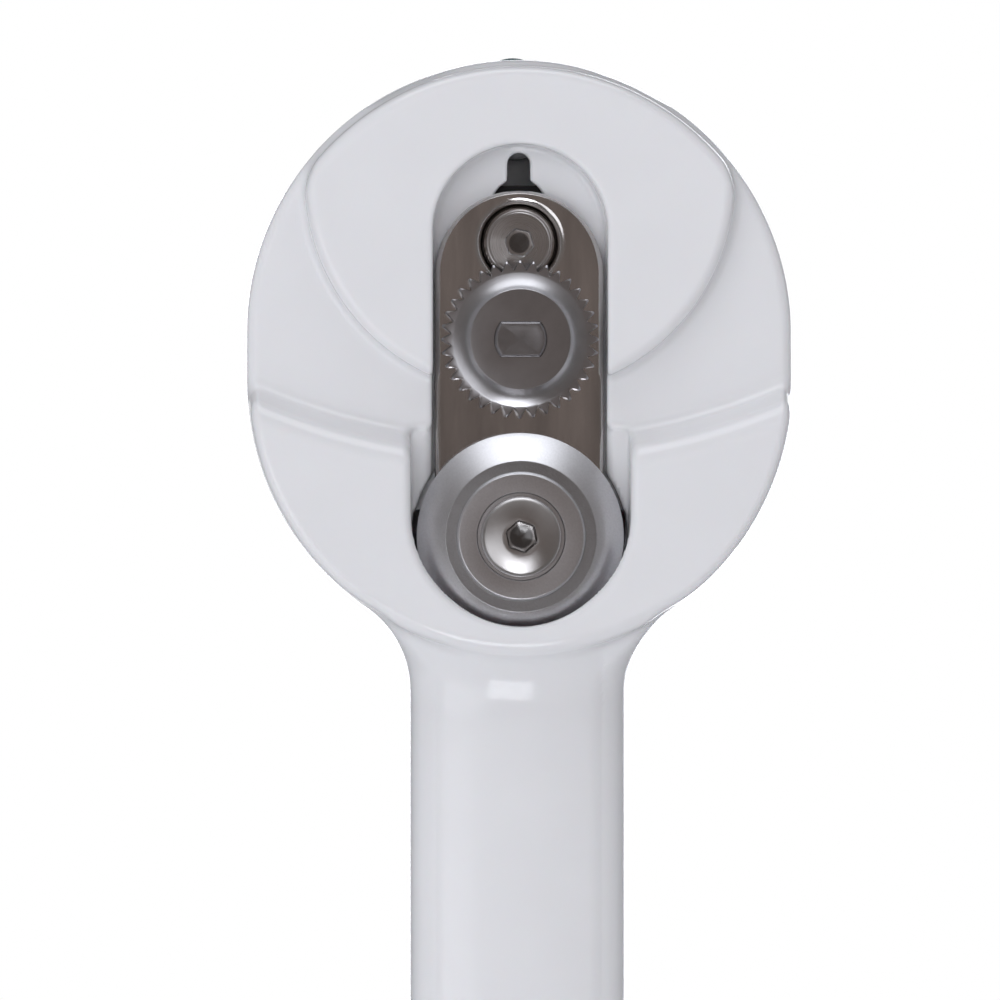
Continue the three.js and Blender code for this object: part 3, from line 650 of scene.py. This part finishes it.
def radial(m, z):
    """Distance from a wheel's axis, in metres, and the same as fine turning rings."""
    shift = m.nodes.new("ShaderNodeVectorMath")
    shift.operation = "SUBTRACT"
    shift.inputs[1].default_value = (0, 0, (z + AXIS_Z) * MM)
    m.links.new(m.where, shift.inputs[0])
    flat = m.nodes.new("ShaderNodeVectorMath")
    flat.operation = "MULTIPLY"
    flat.inputs[1].default_value = (1, 0, 1)
    m.links.new(shift.outputs["Vector"], flat.inputs[0])
    length = m.nodes.new("ShaderNodeVectorMath")
    length.operation = "LENGTH"
    m.links.new(flat.outputs["Vector"], length.inputs[0])
    return length.outputs["Value"]


def rings_noise(m, radius, scale):
    """Noise that changes with the radius only, as a lathe tool leaves it."""
    texture = m.nodes.new("ShaderNodeTexNoise")
    texture.noise_dimensions = "1D"
    texture.inputs["Scale"].default_value = scale
    texture.inputs["Detail"].default_value = 3
    m.links.new(radius, texture.inputs["W"])
    return texture.outputs["Fac"]


def turn_grain(m, amount):
    tangent = m.nodes.new("ShaderNodeTangent")
    tangent.direction_type, tangent.axis = "RADIAL", "Y"
    m.links.new(tangent.outputs["Tangent"], m.shader.inputs["Tangent"])
    m.shader.inputs["Anisotropic"].default_value = amount


def turned_steel(name, z, colour=(0.62, 0.605, 0.60), rough=(0.2, 0.32), grain=0.6, socket=0.0):
    """Turned stainless: fine rings, a stretched highlight, small specks, and painted shade that darkens the colour
    inside the hex socket.
    """
    m = material(name, colour, sum(rough) / 2, 1.0)
    radius = radial(m, z)
    rings = rings_noise(m, radius, 14000)
    vary_roughness(m, rings, *rough)
    specks = remap(m, noise(m, 400, 4), 0.85, 1)
    # painted shade: inside the socket radius the colour drops to 0.34 times, standing in for the shade down in the
    # hex socket; the specks are the steel's own random tone
    outside_socket_shade = remap(m, radius, 0, 1, (socket - 0.2) * MM, socket * MM)
    specks_and_socket_shade = m.nodes.new("ShaderNodeMath")
    specks_and_socket_shade.operation = "MULTIPLY"
    m.links.new(specks, specks_and_socket_shade.inputs[0])
    m.links.new(outside_socket_shade, specks_and_socket_shade.inputs[1])
    tint(m, specks_and_socket_shade.outputs[0], 0.34, 1.06)
    bump(m, rings, 0.000003, 0.4)
    turn_grain(m, grain)
    return m.made


def cutter_steel():
    """Ground bevel outside, matt grainy ring, then turned hub, told apart by radius."""
    m = material("cutter_steel", (0.70, 0.70, 0.72), 0.34, 1.0)
    radius = radial(m, CUTTER_Z)
    on_ring = remap(m, radius, 1, 0, 0.0094, 0.0096)
    off_hub = remap(m, radius, 0, 1, 0.0080, 0.0081)
    band = m.nodes.new("ShaderNodeMath")
    band.operation = "MULTIPLY"
    m.links.new(on_ring, band.inputs[0])
    m.links.new(off_hub, band.inputs[1])
    speck = noise(m, 3500, 3, rough=0.7)
    rough = m.nodes.new("ShaderNodeMix")
    m.links.new(band.outputs[0], rough.inputs["Factor"])
    m.links.new(remap(m, rings_noise(m, radius, 11000), 0.36, 0.44), rough.inputs["A"])
    m.links.new(remap(m, speck, 0.38, 0.6), rough.inputs["B"])
    m.links.new(rough.outputs["Result"], m.shader.inputs["Roughness"])
    grain = m.nodes.new("ShaderNodeMath")
    grain.operation = "MULTIPLY"
    m.links.new(band.outputs[0], grain.inputs[0])
    m.links.new(speck, grain.inputs[1])
    bump(m, grain.outputs[0], 0.00005, 0.9)
    bump(m, rings_noise(m, radius, 9000), 0.000002, 0.35)
    shade_of_band = m.nodes.new("ShaderNodeMath")
    shade_of_band.operation = "MULTIPLY_ADD"
    m.links.new(band.outputs[0], shade_of_band.inputs[0])
    shade_of_band.inputs[1].default_value = -0.75
    m.links.new(remap(m, speck, 0.8, 1), shade_of_band.inputs[2])
    tint(m, shade_of_band.outputs[0], 0.62, 1.2)
    turn_grain(m, 0.3)
    return m.made


def plain_steel(name, colour, rough, speckle=2500):
    m = material(name, colour, rough, 1.0)
    grain = noise(m, speckle, 4, rough=0.65)
    vary_roughness(m, grain, rough - 0.08, rough + 0.1)
    tint(m, remap(m, noise(m, 350, 4), 0, 1), 0.85, 1.08)
    bump(m, grain, 0.00001, 0.5)
    return m.made


# ---- the visible pieces ----


def finish_piece(obj, body, slot_name, surface, *nodes):
    obj.data.materials.append(surface)
    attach(obj, body)
    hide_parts(*nodes)
    return obj


WHITE = gloss_plastic()
GRIP = soft_grip()
STEEL = turned_steel("turned_steel", CUTTER_Z, rough=(0.3, 0.42), socket=1.55)
MATTE = turned_steel("matte_steel", 0, (0.52, 0.515, 0.53), (0.28, 0.36), 0.2)
RIVETED = plain_steel("riveted_steel", (0.42, 0.41, 0.42), 0.42, 1800)
ZINC = plain_steel("zinc_steel", (0.55, 0.56, 0.58), 0.36)
ACETAL = moulded("acetal", (0.66, 0.64, 0.58), 0.42)
# near-black plastic that is partly painted shade: the slide block behind the keyhole takes it so the keyhole reads as
# a dark hole
BLACK_AND_KEYHOLE_SHADE = moulded("black_acetal_and_keyhole_shade", (0.012, 0.012, 0.013), 0.5)
SPRING = plain_steel("spring_steel", (0.45, 0.45, 0.46), 0.3, 4000)


def housings():
    margin = 1.2
    xs = line(-HEAD_R - margin, HEAD_R + margin, 0.45)
    zs = np.concatenate([
        line(-AXIS_Z - margin, -AXIS_Z + 12, 0.6)[:-1],
        line(-AXIS_Z + 12, -52, 1.1)[:-1],
        line(-52, SHELL_HIGH.z + margin, 0.42),
    ])
    front = skin("wheel_side_shell", wheel_side_shell,
                 [xs, line(SHELL_LOW.y - margin, SHELL_HIGH.y + margin, 0.42), zs])
    finish_piece(front, "housing", "white_plastic", WHITE, "wheel_side_housing")
    back = skin("knob_side_shell", knob_side_shell,
                [xs, line(BACK_LOW.y - margin, BACK_HIGH.y + margin, 0.5), zs])
    finish_piece(back, "housing", "white_plastic", WHITE, "knob_side_housing")


def knob():
    margin = 1.0
    xs = line(-KNOB_HUB_R - margin, KNOB_HUB_R + margin, 0.45)
    zs = line(GRIP_LOW.z - margin, GRIP_HIGH.z + margin, 0.45)
    body = skin("knob_wing", knob_shell, [xs, line(KNOB_LOW.y - margin, KNOB_HIGH.y + margin, 0.42), zs])
    finish_piece(body, "drive", "white_plastic", WHITE, "knob_body")
    band = skin("knob_band", knob_band, [xs, line(GRIP_LOW.y - margin, GRIP_HIGH.y + margin, 0.3), zs])
    finish_piece(band, "drive", "soft_grip", GRIP, "knob_grip")
    low, high = extent("knob_cap")
    cap = ringed("knob_button", profile([
        (0, low.y, 0), (high.x, low.y, 0.2), (high.x, high.y - 0.6, 0.5), (5.6, high.y - 0.25, 0.1),
        (5.3, high.y - 0.55, 0.1), (4.9, high.y - 0.22, 0.1), (0, high.y, 0),
    ]))
    finish_piece(cap, "drive", "white_plastic", WHITE, "knob_cap")


def drive_wheel():
    back, face = WHEEL_HIGH.y, WHEEL_LOW.y
    teeth_y = back - 2
    tip = WHEEL_HIGH.x
    bore = double_d(3.35, 2.25)
    rings = [
        (bore, back), (8.0, back), (teeth(tip - 0.25, 8.7, 36), back), (teeth(tip, 8.8, 36), back - 0.2),
        (teeth(tip, 8.8, 36), teeth_y + 0.25), (teeth(tip - 0.3, 8.7, 36), teeth_y), (8.55, teeth_y - 0.02),
        (8.35, teeth_y - 0.1), (7.7, teeth_y - 0.4), (7.1, teeth_y - 0.75), (6.65, teeth_y - 1.1),
        (6.42, face + 0.12), (6.3, face + 0.02), (6.2, face), (bore, face),
    ]
    wheel = ringed("feed_wheel", rings, sides=1080, sharp=28)
    finish_piece(wheel, "drive", "matte_steel", MATTE, "drive_wheel")


def drive_shaft():
    """The shaft, its end pressed flat over the wheel's hub."""
    low = extent("drive_shaft")[0].y
    hub = WHEEL_LOW.y

    rings = [(0, low + 0.16), (double_d(2.3, 1.4), low + 0.14), (double_d(2.75, 1.75), low + 0.03),
             (double_d(3.0, 1.95), low + 0.06), (double_d(3.2, 2.1), low + 0.25),
             (double_d(3.3, 2.2), hub - 0.12), (double_d(3.2, 2.1), hub + 0.05), (double_d(3.2, 2.1), -10.1),
             (4, -10), (4, -1.9), (3.3, -1.9), (3.3, -0.5), (4, -0.5), (4, 12.7), (2.75, 12.8),
             (2.75, 21.6), (1.8, 21.6), (1.8, 13.6), (0, 13.6)]
    shaft = ringed("riveted_shaft", rings, sides=240)
    finish_piece(shaft, "drive", "matte_steel", RIVETED, "drive_shaft")


def slide_parts():
    margin = 0.6
    step = 0.22
    spans = zip(PLATE_LOW - Vector((margin,) * 3), PLATE_HIGH + Vector((margin,) * 3))
    plate = skin("polished_plate", slide_plate, [line(low, high, step) for low, high in spans])
    finish_piece(plate, "slide", "polished_steel", polished_sheet(), "slide_plate")
    low, high = extent("slide_screw")
    top = low.y
    rings = [(0, top + 1.05), (hexagon(3.0, 0.3), top + 0.85), (hexagon(3.05, 0.3), top + 0.18),
             (hexagon(3.4, 0.3), top)]
    rings += profile([(3.9, top, 0.25), (4.2, top + 0.4, 0.15), (4.2, top + 1.0, 0.1), (2.3, top + 1.0, 0),
                      (2.3, high.y, 0.2), (0, high.y, 0)])
    screw = ringed("plate_screw", rings, SLIDE_SCREW_Z)
    finish_piece(screw, "slide", "turned_steel",
                 turned_steel("screw_steel", SLIDE_SCREW_Z, rough=(0.26, 0.38), grain=0.4, socket=1.4), "slide_screw")


def cutter_parts():
    edge, ring_y = CUTTER_HIGH.y, CUTTER_LOW.y + 0.4
    outer = CUTTER_HIGH.x
    rings = profile([
        (4.2, edge, 0), (outer - 0.12, edge, 0.05), (outer, edge - 0.12, 0.05), (9.5, ring_y, 0.12),
        (8.15, ring_y, 0.1), (7.85, CUTTER_LOW.y, 0.22), (5.6, CUTTER_LOW.y, 0.1), (5.45, CUTTER_LOW.y + 0.12, 0),
        (4.2, CUTTER_LOW.y + 0.12, 0),
    ])
    wheel = ringed("cutting_wheel", rings, CUTTER_Z, sides=256)
    finish_piece(wheel, "cutter", "cutter_steel", cutter_steel(), "cutter_wheel")
    low, high = extent("cutter_screw")
    under, top, dome_r = low.y + 2.3, low.y, 12
    dome = [(r, top + dome_r - math.sqrt(dome_r**2 - r**2)) for r in np.linspace(2.3, 4.75, 10)]
    rings = [(0, top + 2.9), (hexagon(2.9, 0.2), top + 2.1), (hexagon(3.3, 0.2), top + 2.0),
             (hexagon(3.35, 0.2), top + 0.55), (hexagon(3.75, 0.2), top + 0.25), *dome, (4.92, top + 1.12),
             (5.02, top + 1.28), (5.04, top + 1.5), (5.04, under - 0.1), (4.95, under), (2.5, under),
             (2.5, high.y), (0, high.y)]
    screw = ringed("pivot_screw", rings, CUTTER_Z, sides=256)
    finish_piece(screw, "slide", "turned_steel", STEEL, "cutter_screw")


def housing_screws():
    low, high = extent("housing_screw_left")
    seat = high.y - 1.9

    def cross(reach, half):
        def radius(angle):
            lean = np.abs(np.mod(angle + math.pi / 4, math.pi / 2) - math.pi / 4)
            arm = np.minimum(reach, half / np.maximum(np.sin(lean), 1e-6))
            return np.maximum(arm, half * 1.35)
        return radius

    for name in [n for n in frame["nodes"] if n.startswith("housing_screw")]:
        x, z = tuple(sum(extent(name), Vector()) / 2)[::2]
        rings = [(0, high.y - 1.3), (cross(0.9, 0.22), high.y - 1.0), (cross(1.5, 0.3), high.y - 0.1),
                 (1.8, high.y - 0.02), (2.3, high.y - 0.3), (2.65, high.y - 0.75), (2.8, high.y - 1.1),
                 (2.8, seat + 0.05), (1.3, seat)]
        turns = 9
        for k in range(turns):
            y = seat - 0.5 - (seat - 0.5 - low.y - 1.2) * k / turns
            rings += [(0.95, y), (1.32, y - 0.35)]
        screw = ringed(name + "_fine", rings + [(0.9, low.y + 0.9), (0, low.y)], z, sides=96)
        screw.data.transform(shift_x(x))
        finish_piece(screw, "housing", "zinc_steel", ZINC, name)


def return_springs():
    """Coil springs, each wound to fill its CAD spring's box."""
    wire, turns, steps, sides = 0.3, 6, 240, 10
    along = np.linspace(0, 1, steps + 1)
    angle = 2 * math.pi * turns * along
    outward = np.stack([np.cos(angle), np.sin(angle), 0 * angle], axis=1)
    around = 2 * math.pi * np.arange(sides) / sides
    for side in ("left", "right"):
        name = "return_spring_" + side
        low, high = extent(name)
        middle = (low + high) / 2
        centre = outward * ((high.x - low.x) / 2 - wire) + (middle.x, middle.y, low.z + wire)
        centre[:, 2] += (high.z - low.z - 2 * wire) * along
        points = centre[:, None] + wire * np.cos(around)[None, :, None] * outward[:, None]
        points[:, :, 2] += wire * np.sin(around)
        row = np.arange(sides)
        faces = [list(row), list(row[::-1] + steps * sides)]
        for i in range(steps):
            here, there = row + i * sides, row + (i + 1) * sides
            faces += np.stack([here, there, np.roll(there, -1), np.roll(here, -1)], axis=1).tolist()
        mesh = new_mesh(name + "_fine", points.reshape(-1, 3), [[int(k) for k in face] for face in faces])
        if volume(mesh) < 0:
            mesh.flip_normals()
        mesh.shade_smooth()
        mesh.set_sharp_from_angle(angle=math.radians(50))
        mesh.materials.append(SPRING)
        spring = place(name + "_fine", mesh)
        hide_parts(name)
        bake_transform(spring)


def shift_x(x):
    return Matrix.Translation((x * MM, 0, 0))


def dress_cad_nodes():
    """Hidden or plainly shaped CAD pieces keep their shape and take a detailed material."""
    # the slide block's near-black colour is partly painted shade, seen through the keyhole
    looks = {
        "wheel_side_bush": ACETAL, "knob_side_bush": ACETAL, "thrust_washer": ACETAL, "shaft_clip": SPRING,
        "wave_washer": SPRING, "friction_hub": ZINC, "knob_screw": ZINC, "clamp_cam": BLACK_AND_KEYHOLE_SHADE,
        "slide_block": BLACK_AND_KEYHOLE_SHADE, "follower_pin": STEEL, "cutter_sleeve": STEEL, "cutter_washer": STEEL,
        "cutter_nut": ZINC,
    }
    for name, surface in looks.items():
        node = frame["nodes"][name]
        node.data.materials.clear()
        node.data.materials.append(surface)


# ---- stage: floor, light and camera ----


def pale_floor():
    """Matt white paper that glows a little, so that it stays pale away from the lights."""
    m = material("pale_floor", (0.88, 0.88, 0.89), 0.7)
    tint(m, remap(m, noise(m, 14, 2), 0, 1), 0.99, 1.01)
    m.shader.inputs["Emission Color"].default_value = (0.95, 0.97, 1.0, 1)
    m.shader.inputs["Emission Strength"].default_value = 0.3
    return m.made


def floor():
    mesh = bpy.data.meshes.new("floor")
    radius, sides = 1.2, 128
    points = [(radius * math.cos(2 * math.pi * i / sides), radius * math.sin(2 * math.pi * i / sides), -0.0005)
              for i in range(sides)]
    mesh.from_pydata(points, [], [list(range(sides))])
    obj = place("floor", mesh)
    mesh.materials.append(pale_floor())
    obj.visible_glossy = False


def softbox(name, centre, aim, size, power, mirrored=True, colour=(0.925, 0.95, 1.0)):
    """Rectangular light; when not mirrored it lights surfaces but never shows in their gloss."""
    data = bpy.data.lights.new(name, "AREA")
    data.shape = "RECTANGLE"
    data.size, data.size_y = size
    data.energy = power
    data.color = colour
    obj = bpy.data.objects.new(name, data)
    bpy.context.scene.collection.objects.link(obj)
    obj.location = centre
    obj.rotation_mode = "QUATERNION"
    obj.rotation_quaternion = (Vector(aim) - Vector(centre)).to_track_quat("-Z", "Y")
    obj.visible_camera = False
    obj.visible_glossy = mirrored


def studio_world():
    """White to the camera. What the object sees: white behind and above, a dim warm room in front,
    and dark cards beside the background that draw the edges."""
    world = bpy.data.worlds.new("studio")
    bpy.context.scene.world = world
    world.use_nodes = True
    nodes, links = world.node_tree.nodes, world.node_tree.links
    out = nodes["World Output"]
    seen, lit = nodes["Background"], nodes.new("ShaderNodeBackground")
    seen.inputs["Color"].default_value = (1, 1, 1, 1)
    mix, path = nodes.new("ShaderNodeMixShader"), nodes.new("ShaderNodeLightPath")
    links.new(path.outputs["Is Camera Ray"], mix.inputs["Fac"])
    links.new(lit.outputs["Background"], mix.inputs[1])
    links.new(seen.outputs["Background"], mix.inputs[2])
    links.new(mix.outputs["Shader"], out.inputs["Surface"])
    way = nodes.new("ShaderNodeSeparateXYZ")
    links.new(nodes.new("ShaderNodeTexCoord").outputs["Generated"], way.inputs["Vector"])
    ramp = nodes.new("ShaderNodeValToRGB")
    links.new(shade(nodes, links, way.outputs["Y"]), ramp.inputs["Fac"])
    stops = [(0.0, (0.16, 0.135, 0.125)), (0.22, (0.17, 0.155, 0.15)), (0.36, (0.17, 0.165, 0.165)),
             (0.52, (0.34, 0.34, 0.355)), (0.66, (0.05, 0.05, 0.052)), (0.955, (0.05, 0.05, 0.052)),
             (0.975, (0.8, 0.8, 0.82)), (1.0, (1, 1, 1))]
    elements = ramp.color_ramp.elements
    while len(elements) < len(stops):
        elements.new(0.5)
    for element, (position, colour) in zip(elements, stops):
        element.position, element.color = position, (*colour, 1)
    links.new(ramp.outputs["Color"], lit.inputs["Color"])
    lit.inputs["Strength"].default_value = 1.0


def shade(nodes, links, value):
    """From -1...1 to 0...1."""
    node = nodes.new("ShaderNodeMapRange")
    node.inputs["From Min"].default_value = -1
    links.new(value, node.inputs["Value"])
    return node.outputs["Result"]


def lights():
    head = (0, 0, AXIS_Z * MM)
    softbox("key", (0.0, -0.24, head[2] + 0.62), head, (0.6, 0.34), 1.4)
    softbox("front_fill", (-0.25, -1.3, head[2] + 0.05), head, (1.1, 1.3), 7.9, mirrored=False)
    softbox("left_fill", (-0.8, -0.5, 0.08), (0, 0, 0.09), (0.6, 0.9), 2.4, mirrored=False)
    softbox("right_fill", (0.8, -0.5, head[2]), head, (0.6, 0.9), 0.7, mirrored=False)
    softbox("left_window", (-0.34, -0.56, -0.12), (0, 0, 0.0), (0.42, 0.46), 0.8)
    softbox("low_window", (-0.02, -0.46, head[2] - 0.42), head, (0.20, 0.24), 1.15)
    softbox("back_key", (0.3, 1.0, head[2] + 0.1), head, (0.8, 0.8), 5)


def camera():
    """A long lens from slightly left of square on, framed as the head and the upper handle."""
    field, distance, yaw = 0.12594, 1.6, math.radians(-2)
    target = Vector((-0.00246, -0.010, AXIS_Z * MM - 0.0202))
    data = bpy.data.cameras.new("camera")
    data.sensor_width = 36
    data.lens = data.sensor_width * distance / field
    data.clip_end = 20
    obj = bpy.data.objects.new("camera", data)
    bpy.context.scene.collection.objects.link(obj)
    back = Vector((math.sin(yaw), -math.cos(yaw), 0))
    obj.location = target + back * distance
    obj.rotation_mode = "QUATERNION"
    obj.rotation_quaternion = (-back).to_track_quat("-Z", "Y")
    bpy.context.scene.camera = obj


camera()
studio_world()
lights()
floor()
housings()
knob()
drive_wheel()
drive_shaft()
slide_parts()
cutter_parts()
housing_screws()
return_springs()
dress_cad_nodes()
bpy.context.scene.view_settings.view_transform = "Standard"
